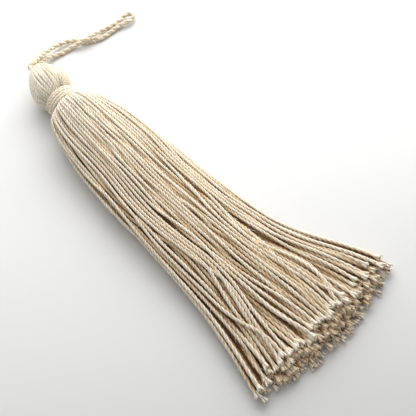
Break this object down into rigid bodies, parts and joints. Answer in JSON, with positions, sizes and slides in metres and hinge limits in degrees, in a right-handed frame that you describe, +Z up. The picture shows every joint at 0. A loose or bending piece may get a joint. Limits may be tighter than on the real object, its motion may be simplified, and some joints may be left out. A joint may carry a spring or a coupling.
{
  "type": "cotton tassel",
  "caption": "Tassel of plied cotton yarn, folded into a bulb-shaped head, bound at the neck, with a flared skirt of cut ends and a twisted hanging loop.",
  "frame": {"origin": "on the surface that the tassel lies on, at the middle of the footprint of the yarn bundle and its binding", "axes": "+X along the tassel from the head to the cut ends, +Z up"},
  "size_m": [0.1475, 0.0727, 0.0152],
  "materials": {
    "cotton_yarn": "undyed plied cotton yarn, matt, with fine twist",
    "cotton_cord": "undyed two-ply twisted cotton cord, matt"
  },
  "bodies": {
    "root": {"yarn_bundle": "cotton_yarn", "neck_binding": "cotton_yarn", "hanging_loop": "cotton_cord"}
  },
  "joints": []
}
